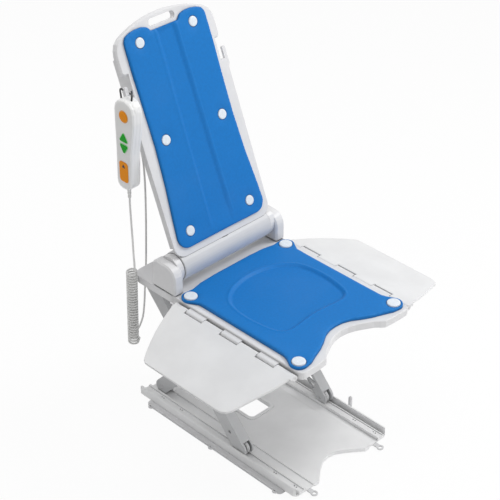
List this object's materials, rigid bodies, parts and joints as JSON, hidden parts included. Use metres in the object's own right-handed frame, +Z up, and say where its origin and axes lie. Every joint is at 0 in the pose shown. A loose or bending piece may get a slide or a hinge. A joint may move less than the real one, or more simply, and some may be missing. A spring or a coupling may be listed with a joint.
{
  "type": "fall recovery lift",
  "caption": "Floor-level seat on a scissor frame with folding side flaps, a reclining padded backrest with a carrying slot, and a corded hand control.",
  "frame": {"origin": "on the floor under the middle of the raised lift's outline", "axes": "+Z up, the person on the seat faces -Y, +X to the side away from the handset"},
  "size_m": [0.7392, 0.7064, 1.0242],
  "materials": {
    "base_plastic": "satin moulded",
    "seat_plastic": "satin moulded",
    "shell_plastic": "satin moulded",
    "flap_plastic": "satin moulded",
    "arm_plastic": "satin moulded",
    "pad_foam": "soft foam",
    "button_plastic": "glossy",
    "dark_rubber": "matt",
    "steel": "turned",
    "nylon": "moulded",
    "white_tube": "painted",
    "grey_plastic": "satin",
    "handset_plastic": "satin",
    "orange_plastic": "soft touch",
    "green_plastic": "soft touch",
    "circuit_board": "lacquered",
    "cord_vinyl": "smooth",
    "black_plastic": "matt"
  },
  "bodies": {
    "base": {"base_plate": "base_plastic", "foot_strip_left": "dark_rubber", "foot_strip_right": "dark_rubber", "release_peg": "dark_rubber", "pull_ring_left": "dark_rubber", "pull_ring_right": "dark_rubber", "base_pivot_shaft": "steel"},
    "inner_arms": {"scissor_arm_inner_left": "arm_plastic", "scissor_arm_inner_right": "arm_plastic", "cross_tube": "steel"},
    "outer_arms": {"scissor_arm_outer_left": "arm_plastic", "scissor_arm_outer_right": "arm_plastic", "centre_shaft": "steel"},
    "seat": {"seat_plate": "seat_plastic", "seat_pad": "pad_foam", "seat_button_left_front": "button_plastic", "seat_button_left_rear": "button_plastic", "seat_button_right_front": "button_plastic", "seat_button_right_rear": "button_plastic", "hinge_cheek_left": "seat_plastic", "hinge_cheek_right": "seat_plastic", "backrest_hinge_pin_left": "steel", "backrest_hinge_pin_right": "steel", "seat_track_left": "arm_plastic", "seat_track_right": "arm_plastic", "seat_pivot_pin_left": "steel", "seat_pivot_pin_right": "steel", "flap_hinge_pin_left": "steel", "flap_hinge_pin_right": "steel"},
    "flap_left": {"side_flap_left": "flap_plastic"},
    "flap_right": {"side_flap_right": "flap_plastic"},
    "backrest": {"backrest_shell": "shell_plastic", "hinge_barrel": "seat_plastic", "backrest_pad": "pad_foam", "drive_box": "shell_plastic", "drive_box_cover": "grey_plastic", "drive_motor": "steel", "drive_tube": "white_tube", "drive_rod": "white_tube", "lower_bracket": "shell_plastic", "cord_plug": "black_plastic", "handset_front": "handset_plastic", "handset_back": "handset_plastic", "handset_board": "circuit_board", "handset_panel": "orange_plastic", "handset_loop": "black_plastic", "strain_relief": "cord_vinyl", "cord_lead": "cord_vinyl", "curly_cord": "cord_vinyl", "return_cord": "cord_vinyl"},
    "round_button": {"round_button": "orange_plastic"},
    "up_button": {"up_button": "green_plastic"},
    "down_button": {"down_button": "green_plastic"},
    "base_roller_left": {"base_roller_left": "nylon"},
    "base_roller_right": {"base_roller_right": "nylon"},
    "seat_roller_left": {"seat_roller_left": "nylon"},
    "seat_roller_right": {"seat_roller_right": "nylon"}
  },
  "joints": [
    {"name": "lift", "type": "hinge", "parent": "base", "child": "inner_arms", "pos_m": [0, 0.19876, 0.033], "axis": [1, 0, 0], "range_deg": [0, 45.3]},
    {"name": "scissor_centre", "type": "hinge", "parent": "inner_arms", "child": "outer_arms", "pos_m": [0, 0.03797, 0.20847], "axis": [1, 0, 0], "range_deg": [-90.6, 0]},
    {"name": "seat_pivot", "type": "hinge", "parent": "outer_arms", "child": "seat", "pos_m": [0, 0.19876, 0.38394], "axis": [1, 0, 0], "range_deg": [0, 45.3]},
    {"name": "backrest_hinge", "type": "hinge", "parent": "seat", "child": "backrest", "pos_m": [0, 0.11076, 0.461], "axis": [1, 0, 0], "range_deg": [-27, 102]},
    {"name": "flap_left_hinge", "type": "hinge", "parent": "seat", "child": "flap_left", "pos_m": [-0.196, -0.13124, 0.398], "axis": [0, -1, 0], "range_deg": [-103, 0]},
    {"name": "flap_right_hinge", "type": "hinge", "parent": "seat", "child": "flap_right", "pos_m": [0.196, -0.13124, 0.398], "axis": [0, 1, 0], "range_deg": [-103, 0]},
    {"name": "round_button_press", "type": "slide", "parent": "backrest", "child": "round_button", "axis": [1, 0, 0], "range_m": [0, 0.0012], "stiffness_N_per_m": 400},
    {"name": "up_button_press", "type": "slide", "parent": "backrest", "child": "up_button", "axis": [1, 0, 0], "range_m": [0, 0.0012], "stiffness_N_per_m": 400},
    {"name": "down_button_press", "type": "slide", "parent": "backrest", "child": "down_button", "axis": [1, 0, 0], "range_m": [0, 0.0012], "stiffness_N_per_m": 400},
    {"name": "base_roller_left_spin", "type": "hinge", "parent": "outer_arms", "child": "base_roller_left", "pos_m": [-0.1435, -0.12282, 0.033], "axis": [1, 0, 0], "continuous": true},
    {"name": "seat_roller_left_spin", "type": "hinge", "parent": "inner_arms", "child": "seat_roller_left", "pos_m": [-0.09705, -0.12282, 0.38394], "axis": [1, 0, 0], "continuous": true},
    {"name": "base_roller_right_spin", "type": "hinge", "parent": "outer_arms", "child": "base_roller_right", "pos_m": [0.1435, -0.12282, 0.033], "axis": [1, 0, 0], "continuous": true},
    {"name": "seat_roller_right_spin", "type": "hinge", "parent": "inner_arms", "child": "seat_roller_right", "pos_m": [0.09705, -0.12282, 0.38394], "axis": [1, 0, 0], "continuous": true}
  ],
  "couplings": [
    {"joint": "scissor_centre", "follows": "lift", "ratio": -2},
    {"joint": "seat_pivot", "follows": "lift", "ratio": 1}
  ]
}
